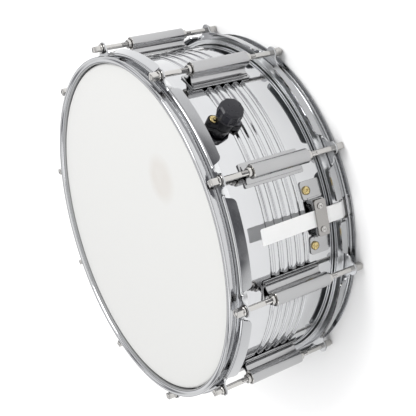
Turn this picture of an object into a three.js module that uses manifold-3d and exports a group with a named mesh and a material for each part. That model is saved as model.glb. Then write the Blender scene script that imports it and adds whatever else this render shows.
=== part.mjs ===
// A 14 by 5.5 inch grooved steel snare drum with ten tube lugs, batter head up.
// Units are millimetres. +Z is the drum's axis, and the origin is the centre of the lower rim's plane, so the
// drum stands on z = 0. Angles are degrees counterclockwise from +X, seen from the batter side. A piece on the
// side of the drum is made in a station's own frame: +X radial and outward, +Y tangential, +Z up.
import * as THREE from "three";
import { mergeVertices } from "three/addons/utils/BufferGeometryUtils.js";
import Module from "manifold-3d";

const wasm = await Module();
wasm.setup();

// ---- Driving dimensions ----
const HEIGHT = 151; // from rim to rim
const GAP = 0.3; // between pieces that touch
const SIDES = 40; // facets round the drum
const SMALL_SIDES = 8; // facets round a small turned piece

const SHELL_RADIUS = 177.3; // outside of the flat bands
const SHELL_WALL = 1;
const HEAD_DROP = 5.3; // from the rim down to the head's face
const FILM = 0.4;
const GROOVES = 5; // rolled into the shell, round its middle
const GROOVE_PITCH = 10;
const GROOVE_DEPTH = 1.6;
const GROOVE_HALF = 3.4; // half width at the surface

const LUGS = 10;
const FIRST_LUG = 12; // angle of lug 1
const ROD_CIRCLE = 192.8; // radius of the circle of tension rods
const ROD_RADIUS = 2.75;
const TUBE_RADIUS = 7;
const NUT_COLLAR = 4.7;
const NUT_BORE = 3.5;
const TUBE_LENGTH = 62.5;
const LUG_PLATE = { length: 66.5, width: 23.3, thickness: 1.2 };

const BUTT_ANGLE = 30;
const STRAINER_ANGLE = 210;
const MUFFLER_ANGLE = 65;
const VENT_ANGLE = 138;

const STRAP_WIDTH = 15.8;
const STRAP = 0.4; // thickness of the snare straps
const SNARE_STRANDS = 20;
const SNARE_LENGTH = 312; // over the end plates
const SHEET = 1.5; // steel sheet of the brackets
const FOOT_SCREW = { angle: 8.6, z: 46.5 }; // off the station's centre line, on the flat band

// ---- Worked out from them ----
const MID = HEIGHT / 2;
const HEAD_FACE = HEIGHT - HEAD_DROP;
const SHELL_TOP = HEAD_FACE - FILM - GAP;
const SHELL_BORE = SHELL_RADIUS - SHELL_WALL;
const ON_SHELL = SHELL_RADIUS + GAP; // where a plate that lies on the shell starts
const EAR_TOP = HEIGHT - 12.2;
const EAR_SHEET = 1.6;
const PITCH = 360 / LUGS;
const lugAngle = (i) => FIRST_LUG + PITCH * i;

// ---- Materials ----
const metal = (color, roughness) => new THREE.MeshStandardMaterial({ color, roughness, metalness: 1 });
const plain = (color, roughness) => new THREE.MeshStandardMaterial({ color, roughness, metalness: 0 });
const chrome = metal(0xe2e4e8, 0.06);
const nickel = metal(0xcfc9bd, 0.16);
const aluminium = metal(0xc6c8ca, 0.35);
const brass = metal(0xb08d3f, 0.25);
const snareSteel = metal(0xb4b6b8, 0.3);
const batterFilm = plain(0xf2f1ec, 0.7);
const snareFilm = new THREE.MeshStandardMaterial({
  color: 0xeef0ee, roughness: 0.25, transparent: true, opacity: 0.6,
});
const strapPlastic = plain(0xf7f7f5, 0.45);
const blackPlastic = plain(0x18181a, 0.4);
const felt = plain(0xd9c3b4, 0.95);

// ---- Solids ----
const radians = THREE.MathUtils.degToRad;

function solidOf(geometry) {
  const bare = geometry.index ? geometry.toNonIndexed() : geometry.clone();
  bare.deleteAttribute("normal");
  bare.deleteAttribute("uv");
  const merged = mergeVertices(bare, 1e-4);
  const index = merged.index.array;
  const faces = [];
  for (let i = 0; i < index.length; i += 3) {
    const [a, b, c] = [index[i], index[i + 1], index[i + 2]];
    if (a !== b && b !== c && c !== a) faces.push(a, b, c);
  }
  const vertProperties = merged.attributes.position.array;
  return new wasm.Manifold(new wasm.Mesh({ numProp: 3, vertProperties, triVerts: new Uint32Array(faces) }));
}

function geometryOf(solid) {
  const { vertProperties, triVerts } = solid.getMesh();
  const indexed = new THREE.BufferGeometry();
  indexed.setAttribute("position", new THREE.BufferAttribute(vertProperties, 3));
  indexed.setIndex(new THREE.BufferAttribute(triVerts, 1));
  const flat = indexed.toNonIndexed();
  flat.computeVertexNormals();
  return flat;
}

const join = (...solids) => solids.reduce((whole, next) => whole.add(next));
const cut = (whole, ...tools) => tools.reduce((left, tool) => left.subtract(tool), whole);

// A box from its low and high corners.
function box([x0, y0, z0], [x1, y1, z1]) {
  const geometry = new THREE.BoxGeometry(x1 - x0, y1 - y0, z1 - z0);
  return solidOf(geometry.translate((x0 + x1) / 2, (y0 + y1) / 2, (z0 + z1) / 2));
}

// An outline turned about Z. It is a list of [radius, z] that runs up the outside, and it either starts and
// ends on the axis or closes on itself.
function turnedGeometry(outline, sides, start = Math.PI / sides) {
  const points = outline.map(([r, z]) => new THREE.Vector2(r, z));
  return new THREE.LatheGeometry(points, sides, start).rotateX(Math.PI / 2);
}
// Round the drum, a facet is centred on each lug. A quarter turn has to be a whole number of facets.
const turned = (outline) => solidOf(turnedGeometry(outline, SIDES, radians(FIRST_LUG) - Math.PI / SIDES));
const closed = (outline) => [...outline, outline[0]];

// The same, turned about a radial line at height z. Its outline is a list of [radius, x].
function turnedRadially(outline, z, sides = SMALL_SIDES, y = 0) {
  return solidOf(turnedGeometry(outline, sides).rotateY(Math.PI / 2).translate(0, y, z));
}

const barZ = (radius, low, high, x, y = 0, sides = SMALL_SIDES) =>
  solidOf(turnedGeometry([[0, low], [radius, low], [radius, high], [0, high]], sides).translate(x, y, 0));
const barX = (radius, low, high, y, z, sides = SMALL_SIDES) =>
  turnedRadially([[0, low], [radius, low], [radius, high], [0, high]], z, sides, y);
function barY(radius, low, high, x, z, sides = SMALL_SIDES) {
  const bar = turnedGeometry([[0, low], [radius, low], [radius, high], [0, high]], sides);
  return solidOf(bar.rotateX(-Math.PI / 2).translate(x, 0, z));
}

function plate(outline, depth) {
  const shape = new THREE.Shape(outline.map(([x, y]) => new THREE.Vector2(x, y)));
  return new THREE.ExtrudeGeometry(shape, { depth, bevelEnabled: false });
}
// An outline in x and y, from z = low to high; in x and z, from y = low to high; in y and z, from x = low
// to high.
const plateZ = (outline, low, high) => solidOf(plate(outline, high - low).translate(0, 0, low));
const plateY = (outline, low, high) =>
  solidOf(plate(outline, high - low).rotateX(Math.PI / 2).translate(0, high, 0));
const plateX = (outline, low, high) =>
  solidOf(plate(outline, high - low).rotateX(Math.PI / 2).rotateZ(Math.PI / 2).translate(low, 0, 0));

function arc(x, y, radius, from, to, steps) {
  const points = [];
  for (let i = 0; i <= steps; i++) {
    const a = radians(from + ((to - from) * i) / steps);
    points.push([x + radius * Math.cos(a), y + radius * Math.sin(a)]);
  }
  return points;
}

// Half an outline, mirrored across y = 0 and closed.
const mirrored = (half) => [...half, ...half.map(([x, y]) => [x, -y]).reverse()];

// A rectangle of the given half sizes with its corners cut off.
function chamfered(halfY, halfZ, z, corner) {
  const [y, h] = [halfY, halfZ];
  return [
    [-y + corner, z - h], [y - corner, z - h], [y, z - h + corner], [y, z + h - corner],
    [y - corner, z + h], [-y + corner, z + h], [-y, z + h - corner], [-y, z - h + corner],
  ];
}

// ---- The assembly ----
const drum = new THREE.Group();

// The snare side repeats the batter side, turned over about the horizontal line through the butt and the
// strainer.
const snareSide = new THREE.Group();
const turnOver = new THREE.Vector3(Math.cos(radians(BUTT_ANGLE)), Math.sin(radians(BUTT_ANGLE)), 0);
snareSide.quaternion.setFromAxisAngle(turnOver, Math.PI);
snareSide.position.z = HEIGHT;
drum.add(snareSide);
const turnedOver = (angle) => 2 * BUTT_ANGLE - angle;

function place(group, name, solid, material) {
  const mesh = new THREE.Mesh(geometryOf(solid), material);
  mesh.name = name;
  group.add(mesh);
}

function station(angle, parent = drum) {
  const group = new THREE.Group();
  group.rotation.z = radians(angle);
  parent.add(group);
  return group;
}

const turnedTo = (solid, angle) => solid.rotate([0, 0, angle]);

// A hole through the shell's wall for a radial pin, at an angle from the station's.
const wallHole = (radius, angle, z, y = 0) =>
  turnedTo(barX(radius, SHELL_RADIUS - 12, SHELL_RADIUS + 12, y, z, 8), angle);

// ---- Shell ----
const MUFFLER_Z = 102.5;
const MUFFLER_SCREW = { reach: 11.4, lean: 24 }; // from the knob's axis, and off the drum's axis
const mufflerScrew = (side) => {
  const lean = radians(MUFFLER_SCREW.lean);
  const reach = side * MUFFLER_SCREW.reach;
  return { y: reach * Math.sin(lean), z: MUFFLER_Z + reach * Math.cos(lean) };
};

function shell() {
  const R = SHELL_RADIUS;
  const low = HEIGHT - SHELL_TOP;
  // The grooves from the bottom up, as seen on a face of radius r.
  const grooved = (r, half) => Array.from({ length: GROOVES }, (_, i) => {
    const z = MID + GROOVE_PITCH * (i - (GROOVES - 1) / 2);
    const floor = r - GROOVE_DEPTH;
    return [[r, z - half], [floor, z - half + 1.2], [floor, z + half - 1.2], [r, z + half]];
  }).flat();
  const edge = R - 1.7; // the edge is rounded, and rolled inward by the lip
  const lip = 4;
  const outside = [[edge, low], [R, low + 2], ...grooved(R, GROOVE_HALF), [R, SHELL_TOP - 2], [edge, SHELL_TOP]];
  const inside = [
    [edge - lip, SHELL_TOP - 3.2], [SHELL_BORE, SHELL_TOP - 3.4],
    ...grooved(SHELL_BORE, GROOVE_HALF + 0.4).reverse(),
    [SHELL_BORE, low + 3.4], [edge - lip, low + 3.2],
  ];
  const holes = [
    wallHole(2.3, BUTT_ANGLE - FOOT_SCREW.angle, FOOT_SCREW.z),
    wallHole(2.3, BUTT_ANGLE + FOOT_SCREW.angle, FOOT_SCREW.z),
    wallHole(3.2, MUFFLER_ANGLE, MUFFLER_Z),
    wallHole(5.6, VENT_ANGLE, MID),
  ];
  for (const side of [-1, 1]) {
    const { y, z } = mufflerScrew(side);
    holes.push(wallHole(2, MUFFLER_ANGLE, z, y));
  }
  return cut(turned(closed([...outside, ...inside])), ...holes);
}

function ventGrommet() {
  const inner = SHELL_BORE - GROOVE_DEPTH - 1.2;
  const outline = [
    [4, inner], [5.2, inner], [5.2, ON_SHELL], [8, ON_SHELL],
    [8, ON_SHELL + 0.6], [6.8, ON_SHELL + 1.4], [4, ON_SHELL + 1.4],
  ];
  return turnedRadially(closed(outline), MID);
}

place(drum, "shell", shell(), chrome);
place(station(VENT_ANGLE), "vent_grommet", ventGrommet(), chrome);

// ---- Heads ----
const COLLAR_RADIUS = SHELL_RADIUS + GAP; // inside of the film's collar
const COLLAR_END = HEIGHT - 12.8;

function film() {
  const under = HEAD_FACE - FILM;
  const shoulder = 1.8;
  return turned([
    [0, under], [COLLAR_RADIUS - shoulder, under], [COLLAR_RADIUS, under - 1.9], [COLLAR_RADIUS, COLLAR_END],
    [COLLAR_RADIUS + FILM, COLLAR_END], [COLLAR_RADIUS + FILM, HEAD_FACE - 2.1],
    [COLLAR_RADIUS + FILM - shoulder - 0.2, HEAD_FACE], [0, HEAD_FACE],
  ]);
}

function fleshHoop() {
  const [inner, outer] = [COLLAR_RADIUS + 1, 182.8];
  const [low, high] = [HEIGHT - 21.8, HEIGHT - 13.3];
  return turned(closed([[inner, low], [outer, low], [outer, high - 0.8], [outer - 0.8, high], [inner, high]]));
}

place(drum, "batter_head_film", film(), batterFilm);
place(drum, "batter_flesh_hoop", fleshHoop(), aluminium);
place(snareSide, "snare_head_film", film(), snareFilm);
place(snareSide, "snare_flesh_hoop", fleshHoop(), aluminium);

// ---- Triple-flanged hoops ----
const WALL_IN = 178.5;
const HOOP_SHEET = 1.6;
const FLANGE_TOP = HEIGHT - 11.4;
const SKIRT_END = HEIGHT - 23;
const EAR_HALF = 6.4; // half width of an ear round its rod
const NOTCH_HALF = 16; // half width of the stretch of skirt that is cut back at an ear
const GATE_HALF = 11; // half width of a snare gate
const GATE_EDGE = 3.4; // the gate stops this far from the rim

function hoopRing() {
  const flangeUnder = FLANGE_TOP - HOOP_SHEET;
  return turned(closed([
    [WALL_IN, flangeUnder], [185, flangeUnder], [185.6, flangeUnder - 1.4], [188.2, SKIRT_END],
    [189.8, SKIRT_END + 0.3], [187.3, FLANGE_TOP - 2.4], [186.4, FLANGE_TOP], [WALL_IN + HOOP_SHEET, FLANGE_TOP],
    [WALL_IN + HOOP_SHEET, HEIGHT - 2.6], [183.2, HEIGHT - 1.4], [185.6, HEIGHT - 1.6], [185.4, HEIGHT],
    [181.2, HEIGHT], [WALL_IN, HEIGHT - 2],
  ]));
}

function ear() {
  const half = [[183.4, NOTCH_HALF + 0.5], [187.4, NOTCH_HALF], [188.8, 10.5], [190.6, 8], [192.2, EAR_HALF]];
  const tip = arc(ROD_CIRCLE, 0, EAR_HALF, 90, 0, 3).slice(1);
  const outline = mirrored([...half, ...tip.slice(0, -1), [ROD_CIRCLE + EAR_HALF, 1]]);
  return plateZ(outline, EAR_TOP - EAR_SHEET, EAR_TOP);
}

function hoop(gateAngles) {
  const notch = box([184.4, -NOTCH_HALF, SKIRT_END - 2], [196, NOTCH_HALF, EAR_TOP - EAR_SHEET / 2]);
  const rodHole = barZ(3.9, SKIRT_END, HEIGHT, ROD_CIRCLE, 0, 6);
  const gate = box([172, -GATE_HALF, SKIRT_END - 2], [196, GATE_HALF, HEIGHT - GATE_EDGE]);
  let ring = hoopRing();
  for (let i = 0; i < LUGS; i++) {
    const a = lugAngle(i);
    ring = join(cut(ring, turnedTo(notch, a)), turnedTo(ear(), a));
    ring = cut(ring, turnedTo(rodHole, a));
  }
  return cut(ring, ...gateAngles.map((a) => turnedTo(gate, a)));
}

place(drum, "batter_hoop", hoop([]), chrome);
place(snareSide, "snare_hoop", hoop([BUTT_ANGLE, STRAINER_ANGLE]), chrome);

// ---- Lugs, each a folded tube with a swivel nut in each end ----
function lug() {
  const { length, width, thickness } = LUG_PLATE;
  const plateTop = ON_SHELL + thickness;
  const neck = 2.6; // half width of the neck under the tube
  const opening = THREE.MathUtils.radToDeg(Math.asin(neck / TUBE_RADIUS));
  const flank = [[plateTop - 0.4, 8.4], [plateTop + 1.2, 5], [plateTop + 3.2, 3], [plateTop + 5, neck]];
  const round = arc(ROD_CIRCLE, 0, TUBE_RADIUS, 180 - opening, 0, 5);
  const outline = mirrored([...flank, ...round.slice(0, -1), [ROD_CIRCLE + TUBE_RADIUS, 0.8]]);
  const half = TUBE_LENGTH / 2;
  const foot = plateX(chamfered(width / 2, length / 2, MID, 3), ON_SHELL, plateTop);
  const nuts = barZ(NUT_COLLAR, MID - half - 4.4, MID + half + 4.4, ROD_CIRCLE);
  const bore = barZ(NUT_BORE, MID - half - 5, MID + half + 5, ROD_CIRCLE);
  return cut(join(plateZ(outline, MID - half, MID + half), foot, nuts), bore);
}

// ---- Tension rods, each with its washer, collar and square key head ----
const ROD_TIP = HEIGHT - 0.7;
const ROD_END = 95;
const KEY_SIZE = 6.3;

function tensionRod() {
  const seat = EAR_TOP + GAP;
  const collarTop = seat + 3.3;
  const outline = [
    [0, ROD_END], [ROD_RADIUS - 0.6, ROD_END], [ROD_RADIUS, ROD_END + 0.8], [ROD_RADIUS, seat],
    [5.6, seat], [5.6, seat + 1.2], [4.8, seat + 1.4], [4.8, collarTop], [0, collarTop],
  ];
  const k = KEY_SIZE / 2;
  const rod = solidOf(turnedGeometry(outline, SMALL_SIDES).translate(ROD_CIRCLE, 0, 0));
  return join(rod, box([ROD_CIRCLE - k, -k, collarTop - 0.5], [ROD_CIRCLE + k, k, ROD_TIP]));
}

for (let i = 0; i < LUGS; i++) {
  const number = String(i + 1).padStart(2, "0");
  const side = station(lugAngle(i));
  place(side, `lug_${number}`, lug(), chrome);
  place(side, `tension_rod_batter_${number}`, tensionRod(), nickel);
  place(station(turnedOver(lugAngle(i)), snareSide), `tension_rod_snare_${number}`, tensionRod(), nickel);
}

// ---- Snare wires and their straps ----
const WIRE = { low: 3.4, high: 4.8, width: 1.5, pitch: 2.15 };
const END_PLATE = { length: 12, half: 23, low: 3.3, high: 4.9 };

function snareWires() {
  const reach = SNARE_LENGTH / 2;
  const parts = [];
  for (const side of [-1, 1]) {
    const [a, b] = [side * reach, side * (reach - END_PLATE.length)].sort((p, q) => p - q);
    parts.push(box([a, -END_PLATE.half, END_PLATE.low], [b, END_PLATE.half, END_PLATE.high]));
  }
  const wireEnd = reach - END_PLATE.length / 2;
  for (let i = 0; i < SNARE_STRANDS; i++) {
    const y = WIRE.pitch * (i - (SNARE_STRANDS - 1) / 2);
    parts.push(box([-wireEnd, y - WIRE.width / 2, WIRE.low], [wireEnd, y + WIRE.width / 2, WIRE.high]));
  }
  return join(...parts);
}

// A strap follows [x, z] points with its thickness to each side, from its free end to under the snare end plate.
function strap(upper) {
  const gate = [
    [185, 24], [184.3, 15], [183.3, 12.4], [181.2, 9.8], [178.8, 6.2], [176.8, 4.4], [172, 3.4],
    [163, 2.8], [146, 2.8],
  ];
  const line = [...upper, ...gate].map(([x, z]) => new THREE.Vector2(x, z));
  const [left, right] = [[], []];
  line.forEach((p, i) => {
    const along = line[Math.min(i + 1, line.length - 1)].clone().sub(line[Math.max(i - 1, 0)]).normalize();
    const off = new THREE.Vector2(-along.y, along.x).multiplyScalar(STRAP / 2);
    left.push([p.x + off.x, p.y + off.y]);
    right.push([p.x - off.x, p.y - off.y]);
  });
  return plateY([...left, ...right.reverse()], -STRAP_WIDTH / 2, STRAP_WIDTH / 2);
}

place(station(BUTT_ANGLE), "snare_wires", snareWires(), snareSteel);

// ---- Brackets on the flat band: a pair of feet, each with a screw hole ----
const FOOT = { low: 28.5, high: 51.8, half: 9 };
const LEG = { inner: 16.4, outer: 18.2 }; // tangential, where a foot turns up into the bracket

function feet(raisedTo, legLow, legHigh) {
  const parts = [];
  for (const side of [-1, 1]) {
    const outline = chamfered(FOOT.half, (FOOT.high - FOOT.low) / 2, (FOOT.high + FOOT.low) / 2, 3);
    const hole = barX(2.3, ON_SHELL - 2, ON_SHELL + SHEET + 2, 0, FOOT_SCREW.z, 8);
    const foot = cut(plateX(outline, ON_SHELL, ON_SHELL + SHEET), hole);
    const [y0, y1] = [side * LEG.inner, side * LEG.outer].sort((p, q) => p - q);
    const leg = box([ON_SHELL - 0.2, y0, legLow], [raisedTo, y1, legHigh]);
    parts.push(turnedTo(foot, side * FOOT_SCREW.angle), leg);
  }
  return join(...parts);
}

// A screw with a domed head, pointing inward along X.
function domedScrew(headRadius, headHeight, seat, shankEnd, shankRadius, y, z) {
  const outline = [
    [0, shankEnd], [shankRadius, shankEnd], [shankRadius, seat], [headRadius, seat],
    [headRadius * 0.94, seat + headHeight * 0.45], [headRadius * 0.55, seat + headHeight],
    [0, seat + headHeight],
  ];
  return turnedRadially(outline, z, 8, y);
}

// ---- Butt ----
const CLAMP = { half: 17.5, low: 33.5, high: 47, thickness: 1.7, screwY: 11.3, screwZ: 41 };
const BUTT_FACE = 184.6; // outer face of the raised bridge
const clampSeat = (face) => face + STRAP + 2 * GAP + 0.1;

function clampPlate(face) {
  const low = clampSeat(face);
  const outline = chamfered(CLAMP.half, (CLAMP.high - CLAMP.low) / 2, (CLAMP.high + CLAMP.low) / 2, 1.5);
  const holes = [-1, 1].map((side) => barX(1.9, low - 1, low + 4, side * CLAMP.screwY, CLAMP.screwZ, 8));
  return cut(plateX(outline, low, low + CLAMP.thickness), ...holes);
}

function buttBracket() {
  const bridge = box([BUTT_FACE - SHEET, -LEG.outer, CLAMP.low], [BUTT_FACE, LEG.outer, CLAMP.high]);
  const holes = [-1, 1].map((side) => (
    barX(1.9, BUTT_FACE - 4, BUTT_FACE + 2, side * CLAMP.screwY, CLAMP.screwZ, 8)));
  return cut(join(feet(BUTT_FACE, CLAMP.low, CLAMP.high), bridge), ...holes);
}

const butt = station(BUTT_ANGLE);
place(butt, "butt_bracket", buttBracket(), chrome);
place(butt, "butt_clamp_plate", clampPlate(BUTT_FACE), chrome);
for (const [label, side] of [["left", -1], ["right", 1]]) {
  const clampFace = clampSeat(BUTT_FACE) + CLAMP.thickness + GAP;
  const small = domedScrew(3.1, 2.1, clampFace, BUTT_FACE - 3.4, 1.5, side * CLAMP.screwY, CLAMP.screwZ);
  place(butt, `butt_clamp_screw_${label}`, small, nickel);
  const large = domedScrew(4.3, 2.9, ON_SHELL + SHEET + GAP, SHELL_BORE - 7, 1.9, 0, FOOT_SCREW.z);
  place(station(BUTT_ANGLE + side * FOOT_SCREW.angle), `butt_mounting_screw_${label}`, large, brass);
}
const buttStrapX = BUTT_FACE + STRAP / 2 + GAP;
const buttStrap = strap([
  [188, 111], [187.2, 92], [186.2, 72], [buttStrapX + 0.2, 56], [buttStrapX, 48], [buttStrapX, 32],
]);
place(butt, "butt_strap", buttStrap, strapPlastic);

// ---- Strainer: a lever turns a pair of crank pins that lower the carriage and let the snares go slack ----
const BACK = ON_SHELL + SHEET; // outer face of the back plate
const CHANNEL = { inner: 15, outer: 16.5, front: 194, low: 57, high: 96 };
const PIVOT = { x: 190, z: 84, pin: 2.2 };
const CRANK = { radius: 4, angle: 50, pin: 1.5 };
const CRANK_PIN = {
  x: PIVOT.x + CRANK.radius * Math.cos(radians(CRANK.angle)),
  z: PIVOT.z + CRANK.radius * Math.sin(radians(CRANK.angle)),
};
const ARM = { inner: 12.3, outer: 13.8 }; // tangential, the lever's two arms
const SCREW_X = 188.5; // axis of the tension screw
const STRAINER_FACE = 185.2; // outer face of the clamp block

function strainerBase() {
  const back = box([ON_SHELL, -LEG.outer, 34], [BACK, LEG.outer, 112]);
  const flanges = [-1, 1].map((side) => {
    const [y0, y1] = [side * CHANNEL.inner, side * CHANNEL.outer].sort((p, q) => p - q);
    return box([BACK - 0.5, y0, CHANNEL.low], [CHANNEL.front, y1, CHANNEL.high]);
  });
  const pivots = [-1, 1].map((side) => {
    const [y0, y1] = [side * ARM.inner, side * (CHANNEL.outer + 1.2)].sort((p, q) => p - q);
    return barY(PIVOT.pin, y0, y1, PIVOT.x, PIVOT.z);
  });
  return join(back, feet(BACK, 34, FOOT.high), ...flanges, ...pivots);
}

function strainerYoke() {
  const half = 11.8;
  const block = box([BACK + 1, -half, 78], [196, half, 92]);
  const slots = [-1, 1].map((side) => {
    const [y0, y1] = [side * 9.2, side * (half + 1)].sort((p, q) => p - q);
    const clearance = CRANK.pin + 0.8;
    return box([189, y0, CRANK_PIN.z - clearance], [198, y1, CRANK_PIN.z + clearance]);
  });
  return cut(block, ...slots, barZ(2.9, 76, 94, SCREW_X, 0, 8));
}

function strainerClampBlock() {
  const boss = box([BACK + 1, -10, 50], [194, 10, 63]);
  const face = box([BACK + 1, -CLAMP.half + 1, CLAMP.low], [STRAINER_FACE, CLAMP.half - 1, 52]);
  const holes = [-1, 1].map((side) => (
    barX(1.9, BACK, STRAINER_FACE + 2, side * CLAMP.screwY, CLAMP.screwZ, 8)));
  return cut(join(boss, face), barZ(2.9, 52, 65, SCREW_X, 0, 8), ...holes);
}

function strainerLever() {
  const hub = arc(PIVOT.x, PIVOT.z, 6.2, 160, 340, 6);
  const outline = [...hub, [199.4, 94], [199.4, 116], [197.6, 117], [196.6, 100], [186.5, 90.5]];
  const hole = barY(PIVOT.pin + 0.35, -20, 20, PIVOT.x, PIVOT.z);
  const arms = [-1, 1].map((side) => {
    const [y0, y1] = [side * ARM.inner, side * ARM.outer].sort((p, q) => p - q);
    return cut(plateY(outline, y0, y1), hole);
  });
  const pins = [-1, 1].map((side) => {
    const [y0, y1] = [side * 9.6, side * (ARM.inner + 0.7)].sort((p, q) => p - q);
    return barY(CRANK.pin, y0, y1, CRANK_PIN.x, CRANK_PIN.z, 8);
  });
  const grip = [[197.6, 99], [199.4, 99], [199.4, 118], [201.6, 124.5], [200, 125.2], [197.6, 118.6]];
  return join(...arms, ...pins, plateY(grip, -ARM.outer, ARM.outer));
}

function tensionScrew() {
  const shank = 2.4;
  const [low, high] = [94, 105];
  const knob = [];
  const points = 24; // they alternate between the knurl's crests and its grooves
  for (let i = 0; i < points; i++) {
    const [a, radius] = [(2 * Math.PI * i) / points, i % 2 ? 6.9 : 6.2];
    knob.push([SCREW_X + radius * Math.cos(a), radius * Math.sin(a)]);
  }
  const shaft = turnedGeometry([
    [0, 54], [shank, 54], [shank, 75], [4.6, 75], [4.6, 77.5], [shank, 77.5], [shank, low + 1], [0, low + 1],
  ], SMALL_SIDES);
  return join(solidOf(shaft.translate(SCREW_X, 0, 0)), plateZ(knob, low, high));
}

const strainer = station(STRAINER_ANGLE);
place(strainer, "strainer_base", strainerBase(), chrome);
place(strainer, "strainer_yoke", strainerYoke(), nickel);
place(strainer, "strainer_clamp_block", strainerClampBlock(), chrome);
place(strainer, "strainer_clamp_plate", clampPlate(STRAINER_FACE), chrome);
place(strainer, "strainer_lever", strainerLever(), chrome);
place(strainer, "strainer_tension_screw", tensionScrew(), nickel);
const strainerStrapX = STRAINER_FACE + STRAP / 2 + GAP;
place(strainer, "strainer_strap", strap([[strainerStrapX, 49.5], [strainerStrapX, 32]]), strapPlastic);

// ---- Muffler: a knob turns a face cam that lets a sprung arm lower a felt pad away from the batter head ----
const MUFFLER_BASE = { thickness: 5, end: 5.4, collar: 8.6, collarEnd: 189.7 };
const KNOB = { low: 190, high: 204.6, radius: 12, sides: 10 };
const SHAFT = 2.6;
const INNER_PLATE = { low: 172, high: 173.5, half: 9 };
const ARM_PIVOT = { x: 167, z: 118, pin: 1.6 };
const PAD = { x: 103, radius: 24, low: 133.9, high: 144.9 };

function mufflerBase() {
  const lean = -MUFFLER_SCREW.lean;
  const ends = [0, 180].flatMap((turn) => arc(0, 0, MUFFLER_BASE.end, turn, turn + 180, 4).map(([y, z]) => {
    const along = turn ? -MUFFLER_SCREW.reach : MUFFLER_SCREW.reach;
    return new THREE.Vector2(y, z + along).rotateAround(new THREE.Vector2(), radians(lean));
  }));
  const outline = ends.map((p) => [p.x, p.y + MUFFLER_Z]);
  const face = ON_SHELL + MUFFLER_BASE.thickness;
  const plateSolid = plateX(outline, ON_SHELL, face);
  const collar = barX(MUFFLER_BASE.collar, ON_SHELL, MUFFLER_BASE.collarEnd, 0, MUFFLER_Z);
  const holes = [-1, 1].map((side) => {
    const { y, z } = mufflerScrew(side);
    return join(barX(2, ON_SHELL - 2, face + 1, y, z, 8), barX(4.4, face, face + 8, y, z, 8));
  });
  return cut(join(plateSolid, collar), barX(SHAFT + 0.6, ON_SHELL - 2, KNOB.low, 0, MUFFLER_Z), ...holes);
}

// The cam's inner face slopes, and its high side meets the arm's heel while the pad is up.
function mufflerKnob() {
  const grip = turnedRadially([
    [0, KNOB.low], [KNOB.radius - 0.6, KNOB.low], [KNOB.radius, KNOB.low + 1.5], [KNOB.radius, KNOB.high - 3.5],
    [KNOB.radius - 2, KNOB.high - 1], [0, KNOB.high],
  ], MUFFLER_Z, KNOB.sides);
  const shaft = barX(SHAFT, 167, KNOB.low + 1, 0, MUFFLER_Z);
  const [camEnd, r] = [INNER_PLATE.low - 0.5, 8];
  const slope = [[165, MUFFLER_Z + r], [camEnd, MUFFLER_Z + r], [camEnd, MUFFLER_Z - r], [168.5, MUFFLER_Z - r]];
  const cam = barX(r, 160, camEnd, 0, MUFFLER_Z).intersect(plateY(slope.reverse(), -9, 9));
  return join(grip, shaft, cam);
}

function mufflerBracket() {
  const { low, high, half } = INNER_PLATE;
  const back = box([low, -half, 88], [high, half, 125]);
  const cheeks = [-1, 1].map((side) => {
    const [y0, y1] = [side * 7.2, side * half].sort((p, q) => p - q);
    return box([ARM_PIVOT.x - 4, y0, 113.5], [low + 0.5, y1, 123.5]);
  });
  const pin = barY(ARM_PIVOT.pin, -8, 8, ARM_PIVOT.x, ARM_PIVOT.z);
  const holes = [-1, 1].map((side) => {
    const { y, z } = mufflerScrew(side);
    return barX(2, low - 1, high + 1, y, z, 8);
  });
  return cut(join(back, ...cheeks, pin), barX(SHAFT + 0.6, low - 1, high + 1, 0, MUFFLER_Z), ...holes);
}

function mufflerArm() {
  const strip = [
    [ARM_PIVOT.x - 2.3, 119.6], [150, 121.5], [128, 130.4], [118, 132.6], [84, 132.6],
    [84, 133.6], [117.6, 133.6], [127.8, 131.6], [150, 122.8], [ARM_PIVOT.x - 2.3, 121],
  ];
  const bore = barY(ARM_PIVOT.pin + 0.35, -9, 9, ARM_PIVOT.x, ARM_PIVOT.z);
  const eye = cut(barY(3.4, -6.6, 6.6, ARM_PIVOT.x, ARM_PIVOT.z), bore);
  const heel = box([163, -5, 108.5], [164.4, 5, ARM_PIVOT.z]);
  const backing = barZ(19, 132.6, 133.6, PAD.x, 0, 12);
  return join(plateY(strip.reverse(), -5, 5), eye, heel, backing);
}

const muffler = station(MUFFLER_ANGLE);
place(muffler, "muffler_base", mufflerBase(), blackPlastic);
place(muffler, "muffler_knob", mufflerKnob(), blackPlastic);
place(muffler, "muffler_bracket", mufflerBracket(), nickel);
place(muffler, "muffler_arm", mufflerArm(), nickel);
place(muffler, "muffler_felt_pad", barZ(PAD.radius, PAD.low, PAD.high, PAD.x, 0, 16), felt);
for (const [label, side] of [["lower", -1], ["upper", 1]]) {
  const { y, z } = mufflerScrew(side);
  const seat = ON_SHELL + MUFFLER_BASE.thickness + GAP;
  place(muffler, `muffler_screw_${label}`, domedScrew(3.9, 2.5, seat, 170, 1.6, y, z), brass);
}

export default drum;
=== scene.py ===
# The grooved steel snare drum, in detail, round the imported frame. Lengths are in millimetres until a mesh is
# made. Angles are degrees counterclockwise from +X, seen from the batter side. A station's own frame is +X
# radial and outward, +Y tangential, +Z up, as in the CAD source.
import math

import bpy
import numpy as np
from mathutils import Matrix, Vector


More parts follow.
